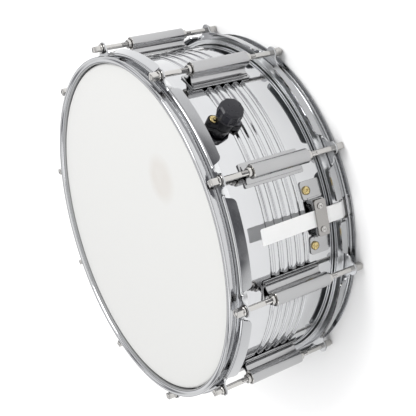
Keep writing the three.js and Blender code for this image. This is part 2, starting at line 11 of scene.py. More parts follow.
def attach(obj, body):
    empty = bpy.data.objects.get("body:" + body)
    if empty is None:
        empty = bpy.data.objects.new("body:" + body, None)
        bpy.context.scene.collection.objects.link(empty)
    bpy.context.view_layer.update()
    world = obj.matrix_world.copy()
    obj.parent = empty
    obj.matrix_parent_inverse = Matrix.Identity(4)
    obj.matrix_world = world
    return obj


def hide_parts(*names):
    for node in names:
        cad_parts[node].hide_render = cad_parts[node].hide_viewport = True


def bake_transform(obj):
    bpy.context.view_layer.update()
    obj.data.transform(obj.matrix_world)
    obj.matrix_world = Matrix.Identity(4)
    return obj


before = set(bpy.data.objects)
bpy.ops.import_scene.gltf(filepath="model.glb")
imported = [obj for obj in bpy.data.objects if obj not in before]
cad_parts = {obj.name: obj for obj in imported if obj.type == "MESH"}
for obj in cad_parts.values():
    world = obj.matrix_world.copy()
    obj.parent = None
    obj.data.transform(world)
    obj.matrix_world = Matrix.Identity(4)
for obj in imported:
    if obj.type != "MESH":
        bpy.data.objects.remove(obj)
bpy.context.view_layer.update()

MM = 0.001
HEIGHT = 151.0  # rim to rim
MID = HEIGHT / 2
SHELL_RADIUS = 177.3
HEAD_FACE = HEIGHT - 5.3
FIRST_LUG, LUGS = 12, 10
PITCH = 360 / LUGS
ROD_CIRCLE = 192.8
BUTT_ANGLE, STRAINER_ANGLE, MUFFLER_ANGLE, VENT_ANGLE = 30, 210, 65, 138
ON_SHELL = SHELL_RADIUS + 0.3
EAR_TOP = HEIGHT - 12.2
SHEET = 1.5


# ---- Meshes ----
def turn(degrees, axis="Z"):
    return Matrix.Rotation(math.radians(degrees), 4, axis)


def shift(x, y, z):
    return Matrix.Translation((x, y, z))


LIE_OUT = turn(90, "Y")  # +Z becomes +X, for a piece turned about a radial line


class Build:
    """Collects parts in millimetres, then makes one object of them. kind picks the material."""

    def __init__(self):
        self.points, self.faces, self.kinds = [], [], []

    def add(self, part, matrix=None, kind=0):
        points, faces = part
        points = np.asarray(points, float)
        if matrix is not None:
            m = np.array(matrix)
            points = points @ m[:3, :3].T + m[:3, 3]
        base = sum(len(p) for p in self.points)
        self.points.append(points)
        self.faces += [[base + i for i in f] for f in faces]
        self.kinds += [kind] * len(faces)
        return self

    def mesh(self, name, materials, sharp=32):
        mesh = bpy.data.meshes.new(name)
        mesh.from_pydata((np.vstack(self.points) * MM).tolist(), [], self.faces)
        for m in materials if isinstance(materials, list) else [materials]:
            mesh.materials.append(m)
        mesh.polygons.foreach_set("material_index", self.kinds)
        mesh.shade_smooth()
        if sharp:
            mesh.set_sharp_from_angle(angle=math.radians(sharp))
        mesh.update()
        return mesh


def ring_faces(rows, columns, wrap_rows=False, wrap_columns=True):
    """Quads over a grid of points, row by row; a row is one station along the outline."""
    faces = []
    for i in range(rows if wrap_rows else rows - 1):
        for j in range(columns if wrap_columns else columns - 1):
            a, b = i * columns + j, i * columns + (j + 1) % columns
            c, d = ((i + 1) % rows) * columns + (j + 1) % columns, ((i + 1) % rows) * columns + j
            faces.append([a, b, c, d])
    return faces


def lathe(outline, sides=48, closed=False):
    """An outline of [radius, z] turned about Z, going up the outside. Ends on the axis close as a fan."""
    angles = np.linspace(0, 2 * math.pi, sides, endpoint=False)
    rows = [(r, z) for r, z in outline]
    points, faces, starts = [], [], []
    for r, z in rows:
        starts.append(len(points))
        if r < 1e-6:
            points.append((0, 0, z))
        else:
            points += [(r * math.cos(a), r * math.sin(a), z) for a in angles]
    pairs = list(zip(range(len(rows) - 1), range(1, len(rows))))
    if closed:
        pairs.append((len(rows) - 1, 0))
    for i, k in pairs:
        a, b = starts[i], starts[k]
        flat_a, flat_b = rows[i][0] < 1e-6, rows[k][0] < 1e-6
        for j in range(sides):
            n = (j + 1) % sides
            if flat_a and flat_b:
                continue
            if flat_a:
                faces.append([a, b + n, b + j])
            elif flat_b:
                faces.append([a + j, a + n, b])
            else:
                faces.append([a + j, a + n, b + n, b + j])
    return points, faces


def end_to_end(n):
    """Faces between two outlines of n points each, with both ends closed."""
    ends = [list(range(n))[::-1], [n + i for i in range(n)]]
    return ends + [[i, (i + 1) % n, n + (i + 1) % n, n + i] for i in range(n)]


def prism(outline, low, high, along="Z"):
    """A closed outline pushed from low to high: (x, y) along Z, (x, z) along Y, (y, z) along X."""
    area = sum(x0 * y1 - x1 * y0 for (x0, y0), (x1, y1) in zip(outline, outline[1:] + outline[:1]))
    outline = list(outline) if area > 0 else list(outline)[::-1]
    place = {
        "Z": lambda u, v, h: (u, v, h),
        "Y": lambda u, v, h: (u, h, v),
        "X": lambda u, v, h: (h, u, v),
    }[along]
    points = [place(u, v, low) for u, v in outline] + [place(u, v, high) for u, v in outline]
    faces = end_to_end(len(outline))
    if along == "Y":
        faces = [f[::-1] for f in faces]
    return points, faces


def block(low, high):
    (x0, y0, z0), (x1, y1, z1) = low, high
    return prism([(x0, y0), (x1, y0), (x1, y1), (x0, y1)], z0, z1)


def arc(x, y, radius, start, end, steps):
    return [
        (x + radius * math.cos(math.radians(a)), y + radius * math.sin(math.radians(a)))
        for a in np.linspace(start, end, steps + 1)
    ]


def rounded(half_u, half_v, u, v, corner, steps=5):
    """A rectangle's outline with round corners."""
    a, b = half_u - corner, half_v - corner
    return (
        arc(u + a, v + b, corner, 0, 90, steps)
        + arc(u - a, v + b, corner, 90, 180, steps)
        + arc(u - a, v - b, corner, 180, 270, steps)
        + arc(u + a, v - b, corner, 270, 360, steps)
    )


def on_side(side, inner, outer):
    """The ends, low then high, of a stretch on one side of the middle."""
    return sorted((side * inner, side * outer))


def thick(line, thickness):
    """The closed outline of a sheet whose middle follows a line in a plane."""
    p = np.array(line, float)
    d = np.diff(p, axis=0)
    d /= np.linalg.norm(d, axis=1)[:, None]
    normals = np.zeros_like(p)
    normals[:-1] += np.stack([-d[:, 1], d[:, 0]], 1)
    normals[1:] += np.stack([-d[:, 1], d[:, 0]], 1)
    normals /= np.linalg.norm(normals, axis=1)[:, None]
    stretch = np.ones(len(p))
    stretch[1:-1] = 1 / np.clip(np.sum(normals[1:-1] * np.stack([-d[1:, 1], d[1:, 0]], 1), 1), 0.5, 1)
    off = normals * (thickness / 2 * stretch)[:, None]
    return [tuple(q) for q in p + off] + [tuple(q) for q in (p - off)[::-1]]


def smooth_line(points, steps=8):
    """A Catmull-Rom curve through points."""
    p = np.array([points[0], *points, points[-1]], float)
    made = []
    for i in range(1, len(p) - 2):
        for t in np.linspace(0, 1, steps, endpoint=False):
            a, b, c, d = p[i - 1], p[i], p[i + 1], p[i + 2]
            bend, twist = 2 * a - 5 * b + 4 * c - d, 3 * b - a - 3 * c + d
            made.append(0.5 * (2 * b + (c - a) * t + bend * t**2 + twist * t**3))
    return [tuple(q) for q in made] + [tuple(p[-2])]


def finished(obj):
    """obj's mesh with its modifiers applied."""
    graph = bpy.context.evaluated_depsgraph_get()
    mesh = bpy.data.meshes.new_from_object(obj.evaluated_get(graph), preserve_all_data_layers=True,
                                           depsgraph=graph)
    obj.modifiers.clear()
    old, obj.data = obj.data, mesh
    bpy.data.meshes.remove(old)
    return obj


def link(name, mesh, matrix=None):
    """Something new at the origin. With a matrix, it has its own copy of the mesh, moved there."""
    if matrix is not None:
        mesh = mesh.copy()
        m = matrix.copy()
        m.translation = m.translation * MM
        mesh.transform(m)
    obj = bpy.data.objects.new(name, mesh)
    bpy.context.scene.collection.objects.link(obj)
    bpy.context.view_layer.update()
    return obj


def bevelled(mesh, width=0.3, segments=2, angle=38):
    obj = link(mesh.name, mesh)
    bevel = obj.modifiers.new("bevel", "BEVEL")
    bevel.width = width * MM
    bevel.segments = segments
    bevel.limit_method = "ANGLE"
    bevel.angle_limit = math.radians(angle)
    bevel.harden_normals = True
    mesh = finished(obj).data
    bpy.data.objects.remove(obj)
    return mesh


def cut_from(mesh, *tools):
    """mesh with each tool's part, in millimetres, cut away."""
    obj = link(mesh.name, mesh)
    made = []
    for i, (part, matrix) in enumerate(tools):
        tool = link(f"tool_{i}", Build().add(part, matrix).mesh("tool", mesh.materials[0], 0))
        made.append(tool)
        cut = obj.modifiers.new("cut", "BOOLEAN")
        cut.operation = "DIFFERENCE"
        cut.solver = "EXACT"
        cut.object = tool
    bpy.context.view_layer.update()
    mesh = finished(obj).data
    for o in [obj, *made]:
        bpy.data.objects.remove(o)
    return mesh


def piece(name, mesh, body, slot, *nodes, matrix=None):
    """One visible piece, riding on a body and standing for CAD nodes."""
    obj = link(name, mesh, matrix)
    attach(obj, body)
    if nodes:
        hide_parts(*nodes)
    return obj


# ---- Stations ----
def station(angle):
    return turn(angle)


BUTT_LINE = Vector((math.cos(math.radians(BUTT_ANGLE)), math.sin(math.radians(BUTT_ANGLE)), 0))
AT_BUTT, AT_STRAINER, AT_MUFFLER = (station(angle) for angle in (BUTT_ANGLE, STRAINER_ANGLE, MUFFLER_ANGLE))
TURN_OVER = shift(0, 0, HEIGHT) @ Matrix.Rotation(math.pi, 4, BUTT_LINE)


def snare_station(angle):
    """Where a batter-side station lies on the snare side."""
    return TURN_OVER @ turn(2 * BUTT_ANGLE - angle)


def lug_angle(i):
    return FIRST_LUG + PITCH * i


# ---- Materials ----
class Finish:
    """One Principled material and the nodes that vary it."""

    def __init__(self, name, color, roughness, metallic=0.0, **inputs):
        self.material = bpy.data.materials.new(name)
        self.material.use_nodes = True
        self.nodes, self.links = self.material.node_tree.nodes, self.material.node_tree.links
        self.shader = self.nodes["Principled BSDF"]
        self.shader.inputs["Base Color"].default_value = (*color, 1)
        self.shader.inputs["Roughness"].default_value = roughness
        self.shader.inputs["Metallic"].default_value = metallic
        for key, value in inputs.items():
            self.shader.inputs[key.replace("_", " ")].default_value = value
        self.coordinates = self.nodes.new("ShaderNodeTexCoord")
        self.height = None

    def place(self, scale=(1, 1, 1)):
        mapping = self.nodes.new("ShaderNodeMapping")
        mapping.inputs["Scale"].default_value = scale
        self.links.new(self.coordinates.outputs["Object"], mapping.inputs["Vector"])
        return mapping.outputs["Vector"]

    def noise(self, scale, detail=3, stretch=(1, 1, 1), distortion=0.0):
        node = self.nodes.new("ShaderNodeTexNoise")
        node.inputs["Scale"].default_value = scale
        node.inputs["Detail"].default_value = detail
        node.inputs["Distortion"].default_value = distortion
        self.links.new(self.place(stretch), node.inputs["Vector"])
        return node.outputs["Fac"]

    def cells(self, scale, stretch=(1, 1, 1)):
        node = self.nodes.new("ShaderNodeTexVoronoi")
        node.inputs["Scale"].default_value = scale
        self.links.new(self.place(stretch), node.inputs["Vector"])
        return node.outputs["Distance"]

    def span(self, value, low, high, start=0.3, end=0.7):
        node = self.nodes.new("ShaderNodeMapRange")
        for key, number in zip(("From Min", "From Max", "To Min", "To Max"), (start, end, low, high)):
            node.inputs[key].default_value = number
        self.links.new(value, node.inputs["Value"])
        return node.outputs["Result"]

    def math(self, kind, a, b):
        node = self.nodes.new("ShaderNodeMath")
        node.operation = kind
        for i, x in enumerate((a, b)):
            if isinstance(x, (int, float)):
                node.inputs[i].default_value = x
            else:
                self.links.new(x, node.inputs[i])
        return node.outputs[0]

    def colours(self, value, first, second):
        node = self.nodes.new("ShaderNodeMix")
        node.data_type = "RGBA"
        node.inputs[6].default_value = (*first, 1)
        node.inputs[7].default_value = (*second, 1)
        self.links.new(value, node.inputs[0])
        self.links.new(node.outputs[2], self.shader.inputs["Base Color"])
        return self

    def rough(self, value):
        self.links.new(value, self.shader.inputs["Roughness"])
        return self

    def bump(self, value, distance, strength=1.0):
        node = self.nodes.new("ShaderNodeBump")
        node.inputs["Distance"].default_value = distance * MM
        node.inputs["Strength"].default_value = strength
        self.links.new(value, node.inputs["Height"])
        if self.height is not None:
            self.links.new(self.height, node.inputs["Normal"])
        self.height = node.outputs["Normal"]
        self.links.new(self.height, self.shader.inputs["Normal"])
        return self


def make_chrome(name, color, low, high, wave):
    f = Finish(name, color, low, 1.0)
    f.rough(f.span(f.noise(38, 6, distortion=0.6), low, high))
    f.colours(f.span(f.noise(14, 4), 0.0, 1.0), color, tuple(c * 0.93 for c in color))
    f.bump(f.noise(9, 2), wave)
    f.bump(f.noise(900, 3), 0.0012, 0.5)
    return f.material


shell_chrome = make_chrome("shell_chrome", (0.56, 0.565, 0.575), 0.03, 0.09, 0.9)
chrome = make_chrome("chrome", (0.55, 0.555, 0.565), 0.04, 0.12, 0.3)
# Painted shade: the lug and butt plate chrome is the same plating as the rest, given a darker colour so these
# parts read dimmer.
lug_chrome_painted_shade = make_chrome("lug_chrome_painted_shade", (0.40, 0.40, 0.405), 0.08, 0.20, 0.5)
hoop_chrome = make_chrome("hoop_chrome", (0.47, 0.475, 0.485), 0.03, 0.10, 0.6)
satin_chrome = make_chrome("satin_chrome", (0.34, 0.33, 0.32), 0.16, 0.28, 0.15)
nickel = make_chrome("nickel", (0.50, 0.49, 0.475), 0.08, 0.18, 0.05)


def make_brushed(name, color, low, high, stretch):
    f = Finish(name, color, low, 1.0)
    grain = f.noise(700, 4, stretch)
    f.rough(f.span(grain, low, high))
    f.colours(f.span(f.noise(60, 3), 0.0, 1.0), color, tuple(c * 0.85 for c in color))
    f.bump(grain, 0.02, 0.6)
    return f.material


aluminium = make_brushed("drawn_aluminium", (0.72, 0.73, 0.74), 0.25, 0.42, (1, 1, 9))
snare_steel = make_brushed("snare_steel", (0.66, 0.67, 0.68), 0.18, 0.34, (1, 1, 1))
brass = make_brushed("yellow_plate", (0.60, 0.48, 0.23), 0.12, 0.28, (1, 1, 1))


PAD_RADIUS, PAD_REACH = 24.0, 103.0  # the felt pad, and its middle's distance from the axis


def make_film(name, color, roughness, grain, alpha, pad_shade_color=None):
    """Film with a fine grain. pad_shade_color is painted shade: a soft darker disc where the felt pad's shadow
    shows through the film.
    """
    f = Finish(name, color, roughness, Alpha=alpha, Specular_IOR_Level=0.35)
    cloud = f.span(f.noise(22, 5), 0.0, 1.0, 0.25, 0.75)
    if pad_shade_color is None:
        f.colours(cloud, color, tuple(c * 0.965 for c in color))
    else:
        middle = [c * MM for c in turn(MUFFLER_ANGLE) @ Vector((PAD_REACH, 0, HEAD_FACE))]
        away = f.nodes.new("ShaderNodeVectorMath")
        away.operation = "DISTANCE"
        f.links.new(f.coordinates.outputs["Object"], away.inputs[0])
        away.inputs[1].default_value = middle
        # Painted shade: a soft darker disc over the felt pad, its shadow seen through the film.
        edge = f.span(away.outputs["Value"], 1.0, 0.0, (PAD_RADIUS - 9) * MM, (PAD_RADIUS + 3) * MM)
        pad_shade_uneven = f.math("MULTIPLY", edge, f.span(f.noise(60, 3), 0.7, 1.0))
        f.colours(pad_shade_uneven, color, pad_shade_color)
    speck = f.noise(1500, 2)
    f.rough(f.span(speck, roughness - 0.08, roughness + 0.12))
    f.bump(speck, grain, 0.7)
    f.bump(f.noise(5, 2), 0.3, 0.4)
    return f.material


# The last colour is painted shade: the felt pad's shadow seen through the batter film.
batter_coat = make_film("batter_coat", (0.55, 0.55, 0.54), 0.52, 0.03, 1.0, (0.505, 0.487, 0.465))
snare_clear = make_film("snare_clear", (0.86, 0.88, 0.87), 0.22, 0.004, 0.45)


def make_plastic(name, color, low, high, grain):
    f = Finish(name, color, low, Specular_IOR_Level=0.3)
    f.rough(f.span(f.noise(120, 5), low, high))
    f.colours(f.span(f.noise(40, 4), 0.0, 1.0), color, tuple(min(1, c * 1.25 + 0.003) for c in color))
    f.bump(f.noise(2600, 2), grain, 0.6)
    return f.material


black_plastic = make_plastic("black_plastic", (0.008, 0.008, 0.010), 0.24, 0.36, 0.03)
knob_plastic = make_plastic("knob_plastic", (0.012, 0.012, 0.016), 0.24, 0.36, 0.03)
nylon = make_plastic("black_nylon", (0.012, 0.012, 0.013), 0.45, 0.6, 0.02)
# Painted shade and reflection: the lower muffler screw is brass like the upper one, given a near-black metal
# for the knob's shade and its mirrored black.
screw_painted_shade = make_brushed("muffler_screw_painted_shade", (0.10, 0.10, 0.11), 0.3, 0.42, (1, 1, 1))


def make_strap():
    color = (0.93, 0.93, 0.92)
    f = Finish("strap_film", color, 0.38, Subsurface_Weight=0.4, Subsurface_Radius=(1, 1, 1),
               Subsurface_Scale=0.004)
    f.colours(f.span(f.noise(30, 3), 0.0, 1.0), color, (0.88, 0.88, 0.87))
    f.rough(f.span(f.noise(500, 3, (1, 1, 4)), 0.3, 0.5))
    f.bump(f.noise(900, 2, (1, 1, 5)), 0.01, 0.5)
    return f.material


def make_felt():
    f = Finish("felt", (0.58, 0.42, 0.35), 0.95, Sheen_Weight=0.5, Sheen_Roughness=0.6)
    fibre = f.noise(420, 6, (1, 1, 2.5), 1.6)
    f.colours(f.span(fibre, 0.0, 1.0), (0.50, 0.35, 0.29), (0.70, 0.53, 0.45))
    f.bump(fibre, 0.35, 0.8)
    f.bump(f.cells(900), 0.12, 0.5)
    return f.material


strap_film, felt = make_strap(), make_felt()


# ---- Shell ----
SHELL_TOP = 145.0
GROOVES, GROOVE_PITCH, GROOVE_DEPTH, GROOVE_HALF = 5, 10, 1.6, 3.4


def groove_depth(offset, half):
    t = max(0.0, abs(offset) - 0.5) / (half - 0.5)
    return GROOVE_DEPTH * (0.5 + 0.5 * math.cos(math.pi * min(1.0, t)))


def grooved(radius, half):
    """The grooves' outline on a face of that radius, from the bottom up."""
    line = []
    for i in range(GROOVES):
        z = MID + GROOVE_PITCH * (i - (GROOVES - 1) / 2)
        line += [(radius - groove_depth(d, half), z + d) for d in np.linspace(-half, half, 15)]
    return line


def make_shell():
    low, high = HEIGHT - SHELL_TOP, SHELL_TOP
    edge = SHELL_RADIUS - 1.7
    curl = arc(edge - 0.1, high - 1.8, 1.8, 0, 80, 6)
    foot = [(r, HEIGHT - z) for r, z in reversed(curl)]
    flats = [(SHELL_RADIUS, z) for z in np.linspace(low + 3, MID - 24.5, 5)]
    upper = [(SHELL_RADIUS, HEIGHT - z) for _, z in reversed(flats)]
    outside = foot + flats + grooved(SHELL_RADIUS, GROOVE_HALF) + upper + curl
    bore = SHELL_RADIUS - 1
    inside = [(edge - 4, high - 3.2), (edge - 3.6, high - 3.8), (bore - 0.4, high - 4.6), (bore, high - 5.6)]
    inside += grooved(bore, GROOVE_HALF + 0.4)[::-1]
    inside += [(r, HEIGHT - z) for r, z in reversed(inside[:4])]
    mesh = Build().add(lathe(outside + inside, 300, closed=True)).mesh("shell", shell_chrome, 40)
    vent = lathe([(0, 165), (5.4, 165), (5.4, 190), (0, 190)], 32)
    return cut_from(mesh, (vent, station(VENT_ANGLE) @ shift(0, 0, MID) @ LIE_OUT))


piece("shell_rolled", make_shell(), "drum", "chrome_plate", "shell")

inner = SHELL_RADIUS - 1 - GROOVE_DEPTH
grommet = [
    (4, inner - 1.2), (7.2, inner - 1.2), (7.2, inner - 0.4), (5.2, inner), (5.2, ON_SHELL), (8, ON_SHELL),
    (8, ON_SHELL + 0.5), (7.5, ON_SHELL + 1.0), (6.6, ON_SHELL + 1.35), (5, ON_SHELL + 1.4),
    (4.2, ON_SHELL + 1.1), (4, ON_SHELL + 0.4),
]
piece("vent_ring", Build().add(lathe(grommet, 48, True), shift(0, 0, MID) @ LIE_OUT).mesh("vent", chrome),
      "drum", "chrome_plate", "vent_grommet", matrix=station(VENT_ANGLE))


# ---- Heads ----
def make_film_mesh(name, material):
    top, under = HEAD_FACE, HEAD_FACE - 0.3
    crown = arc(175.4, top - 2.55, 2.55, 90, 0, 8)
    outer = [(r, top) for r in (0, 40, 80, 120, 150, 165, 172)] + crown + [(177.95, HEIGHT - 14)]
    collar = [(177.95, HEIGHT - 19), (177.65, HEIGHT - 19), (177.65, HEIGHT - 14)]
    inner_crown = arc(175.4, top - 2.55, 2.25, 0, 90, 8)
    outline = outer + collar + inner_crown + [(r, under) for r in (172, 165, 150, 120, 80, 40, 0)]
    return Build().add(lathe(outline[::-1], 240)).mesh(name, material, 50)


def make_flesh_hoop():
    inner_r, outer_r, low, high = 178.6, 182.8, HEIGHT - 21.8, HEIGHT - 13.3
    dent = outer_r - 0.25
    outline = [
        (inner_r, low), (inner_r + 1.3, low), (inner_r + 1.3, low + 1.5), (outer_r - 1.3, low + 1.5),
        (outer_r - 1.3, low), (outer_r, low), (outer_r, low + 5.4), (dent, low + 5.7), (dent, low + 6.2),
        (outer_r, low + 6.5), (outer_r, high - 0.9), (outer_r - 0.3, high - 0.3), (outer_r - 0.9, high),
        (inner_r + 0.4, high), (inner_r, high - 0.4),
    ]
    return Build().add(lathe(outline, 240, True)).mesh("flesh_hoop", aluminium)


flesh = make_flesh_hoop()
piece("batter_head", make_film_mesh("batter_film", batter_coat), "drum", "coated_film", "batter_head_film")
piece("batter_head_hoop", flesh, "drum", "flesh_hoop_aluminium", "batter_flesh_hoop")
piece("snare_head", make_film_mesh("snare_film", snare_clear), "drum", "snare_film", "snare_head_film",
      matrix=TURN_OVER)
piece("snare_head_hoop", flesh, "drum", "flesh_hoop_aluminium", "snare_flesh_hoop", matrix=TURN_OVER)

# ---- Triple-flanged hoops ----
HOOP_SHEET = 1.6
HOOP_MID_RADIUS = 190.0  # where distances along the rim are measured
SECTOR = math.radians(PITCH) * HOOP_MID_RADIUS / 2
GATE_HALF = 11
EAR_HALF = 6.4
RIM = [
    (184.75, 149.0), (184.85, 149.55), (184.45, 150.05), (183.6, 150.2), (182.4, 150.2), (181.1, 150.02),
    (180.1, 149.5), (179.5, 148.6), (179.3, 147.6), (179.3, 145.2), (179.3, 142.8), (179.3, 140.6),
    (179.5, 139.6), (180.15, 139.0), (181.1, 138.8), (182.6, 138.8), (184.0, 138.8), (185.0, 138.8),
]
GATE_ROW = 8  # the rim's row that a snare gate stops at
BEND = 2.8
SKIRT_LENGTH = 8.8
SKIRT_ANGLE = 74


def ease(value, low, high):
    t = min(1.0, max(0.0, (value - low) / (high - low)))
    return t * t * (3 - 2 * t)


def ear_reach(s):
    """The radius that an ear's edge reaches, at a distance along the rim from its rod."""
    if s < EAR_HALF:
        return max(ROD_CIRCLE + math.sqrt(EAR_HALF**2 - s**2), 193.2 - s * 0.1)
    return float(np.interp(s, [EAR_HALF, 7.4, 8.6, 10.5, 13], [192.4, 190.9, 189.8, 189.0, 188.6]))


def hoop_section(s):
    """The rim's outline, then its outer part: an ear, a notch or the skirt."""
    angle = math.radians(SKIRT_ANGLE) * ease(s, 10.5, 15.5)
    ear = ear_reach(s) - 185.0 - BEND
    if s < 16:
        length = max(0.7, ear)
    else:
        t = min(1.0, (s - 16) / 6.0)
        length = 0.7 + (SKIRT_LENGTH - 0.7) * math.sqrt(max(0.0, 1 - (1 - t) ** 2))
    line = list(RIM)
    r, z = line[-1]
    for j in range(1, 6):
        a = angle * j / 5
        r, z = r + BEND / 5 * math.cos(a), z - BEND / 5 * math.sin(a)
        line.append((r, z))
    for _ in range(6):
        r, z = r + length / 6 * math.cos(angle), z - length / 6 * math.sin(angle)
        line.append((r, z))
    return line


def hoop_columns():
    """Signed distances from one lug's rod across its sector."""
    gate = SECTOR - GATE_HALF
    half = [*np.arange(0, 9, 0.6), *np.arange(9, 24, 0.8), *np.linspace(24, gate, 7)]
    half += [*np.linspace(gate, SECTOR, 5)[1:]]
    return [-s for s in half[:0:-1]] + half[:-1]


def make_hoop(name, gates):
    columns, points = [], []
    for i in range(LUGS):
        for s in hoop_columns():
            a = math.radians(lug_angle(i)) + s / HOOP_MID_RADIUS
            columns.append((i, s))
            points += [(r * math.cos(a), r * math.sin(a), z) for r, z in hoop_section(abs(s))]
    rows = len(hoop_section(0))
    gate_half = math.degrees(GATE_HALF / HOOP_MID_RADIUS) - 0.02
    faces = []
    for k in range(len(columns)):
        n = (k + 1) % len(columns)
        middle = math.degrees(math.atan2(*reversed(np.add(points[k * rows][:2], points[n * rows][:2]))))
        in_gate = any(abs((middle - g + 180) % 360 - 180) < gate_half for g in gates)
        for j in range(rows - 1):
            if not (in_gate and j >= GATE_ROW):
                faces.append([k * rows + j, n * rows + j, n * rows + j + 1, k * rows + j + 1])
    obj = link(name, Build().add((points, faces)).mesh(name, hoop_chrome, 0))
    solid = obj.modifiers.new("solid", "SOLIDIFY")
    solid.thickness, solid.offset, solid.use_even_offset = HOOP_SHEET * MM, 0, True
    mesh = finished(obj).data
    bpy.data.objects.remove(obj)
    return bevelled(mesh, 0.4, 2, 55)


piece("batter_rim", make_hoop("batter_rim", []), "drum", "chrome_plate", "batter_hoop")
piece("snare_rim", make_hoop("snare_rim", [BUTT_ANGLE, STRAINER_ANGLE]), "drum", "chrome_plate", "snare_hoop",
      matrix=TURN_OVER)

# ---- Lugs ----
TUBE_RADIUS, TUBE_LENGTH = 7.0, 62.5
PLATE = {"length": 66.5, "width": 23.3, "thickness": 1.2}
NUT_OUT = 4.4  # a swivel nut stands this far out of the tube


def make_lug():
    top = ON_SHELL + PLATE["thickness"]
    fold = 1.15
    neck = 2.6 - fold / 2
    tube = TUBE_RADIUS - fold / 2
    opening = math.degrees(math.asin(neck / tube))
    flank = smooth_line([(top + 0.45, 8.8), (top + 0.75, 6.4), (top + 2.0, 4.0), (top + 4.0, 2.5),
                         (top + 6.2, neck)], 5)
    round_side = arc(ROD_CIRCLE, 0, tube, 180 - opening, 0, 18)
    half = flank + round_side
    line = half + [(x, -y) for x, y in reversed(half[:-1])]
    low, high = MID - TUBE_LENGTH / 2, MID + TUBE_LENGTH / 2
    body = Build().add(prism(thick(line, fold), low, high))
    body.add(prism(rounded(PLATE["width"] / 2, PLATE["length"] / 2, 0, MID, 1.5), ON_SHELL, top, "X"))
    built = bevelled(body.mesh("lug", lug_chrome_painted_shade, 0), 0.28, 2, 50)
    nut = [
        (3.1, high - 14), (5.6, high - 14), (5.6, high - 3.4), (5.2, high - 2.9), (5.2, high - 0.2),
        (4.7, high - 0.1), (4.7, high + NUT_OUT - 0.5), (4.3, high + NUT_OUT), (3.5, high + NUT_OUT),
        (3.1, high + NUT_OUT - 0.5),
    ]
    ring = lathe([(4.9, high - 1.2), (6.95, high - 1.2), (6.95, high + 0.1), (6.6, high + 0.5),
                  (5.9, high + 0.4), (5.6, high - 0.6), (4.9, high - 0.6)], 40, True)
    upside = shift(0, 0, HEIGHT) @ turn(180, "X")
    fittings = Build()
    for m in (Matrix.Identity(4), upside):
        fittings.add(lathe(nut, 40, True), m @ shift(ROD_CIRCLE, 0, 0), 0)
        fittings.add(ring, m @ shift(ROD_CIRCLE, 0, 0), 0)
    screws = Build()
    for z in (MID - 25, MID + 25):
        head = [(0, -1), (2.1, -1), (2.1, 2.5), (5.2, 2.5), (5.2, 3.2), (4.2, 3.3), (4.2, 4.6), (3.6, 5.5),
                (2, 6.1), (0, 6.2)]
        screws.add(lathe(head, 24), shift(ON_SHELL - 3.9, 0, z) @ turn(-90, "Y"))
    return built, fittings.mesh("nuts", nickel), screws.mesh("lug_screws", nickel)


lug_body, lug_nuts, lug_screws = make_lug()

# ---- Tension rods ----
ROD_RADIUS, ROD_END, KEY_SIZE = 2.75, 95.0, 6.3
THREAD = 0.8


def make_rod():
    seat = EAR_TOP + 0.3
    line = [(0, ROD_END), (ROD_RADIUS - 0.6, ROD_END)]
    z = ROD_END + 0.8
    while z < 118:
        line += [(ROD_RADIUS - 0.05, z), (ROD_RADIUS - 0.38, z + THREAD / 2)]
        z += THREAD
    line += [(ROD_RADIUS, z), (ROD_RADIUS, seat + 1.9), (4.5, seat + 1.9), (4.8, seat + 2.1)]
    line += [(4.8, seat + 2.9), (4.45, seat + 3.3), (0, seat + 3.3)]
    rod = Build().add(lathe(line, 24), shift(ROD_CIRCLE, 0, 0))
    steel = [(2.9, seat), (5.6, seat), (5.6, seat + 0.75), (5.4, seat + 0.9), (2.9, seat + 0.9)]
    plastic = [(2.9, seat + 0.9), (5.1, seat + 0.9), (5.25, seat + 1.1), (5.25, seat + 1.7),
               (5.0, seat + 1.9), (2.9, seat + 1.9)]
    rod.add(lathe(steel, 36, True), shift(ROD_CIRCLE, 0, 0))
    rod.add(lathe(plastic, 36, True), shift(ROD_CIRCLE, 0, 0), 1)
    low, high = seat + 3.2, HEIGHT - 0.7
    sections = [(low, 1.0), (high - 0.9, 1.0), (high - 0.3, 0.93), (high, 0.78)]
    outline = rounded(KEY_SIZE / 2, KEY_SIZE / 2, 0, 0, 0.55, 2)
    points = [(ROD_CIRCLE + x * k, y * k, z) for z, k in sections for x, y in outline]
    faces = ring_faces(len(sections), len(outline))
    faces.append([len(outline) * (len(sections) - 1) + i for i in range(len(outline))])
    rod.add((points, faces))
    return rod.mesh("tension_rod", [nickel, nylon], 34)


rod_mesh = make_rod()
for i in range(LUGS):
    number, angle = f"{i + 1:02d}", lug_angle(i)
    piece(f"tube_lug_{number}", lug_body, "drum", "chrome_plate", f"lug_{number}", matrix=station(angle))
    piece(f"lug_nuts_{number}", lug_nuts, "drum", "nickel_plate", matrix=station(angle))
    piece(f"lug_screws_{number}", lug_screws, "drum", "nickel_plate", matrix=station(angle))
    for side, matrix in (("batter", station(angle)), ("snare", snare_station(angle))):
        node = f"tension_rod_{side}_{number}"
        piece(f"key_rod_{side}_{number}", rod_mesh, f"rod_{side}_{number}", "nickel_plate", node,
              matrix=matrix)

# ---- Snare wires ----
STRANDS, STRAND_PITCH, SNARE_HALF = 20, 2.15, 156.0
PLATE_LENGTH, PLATE_HALF = 12.0, 23.0


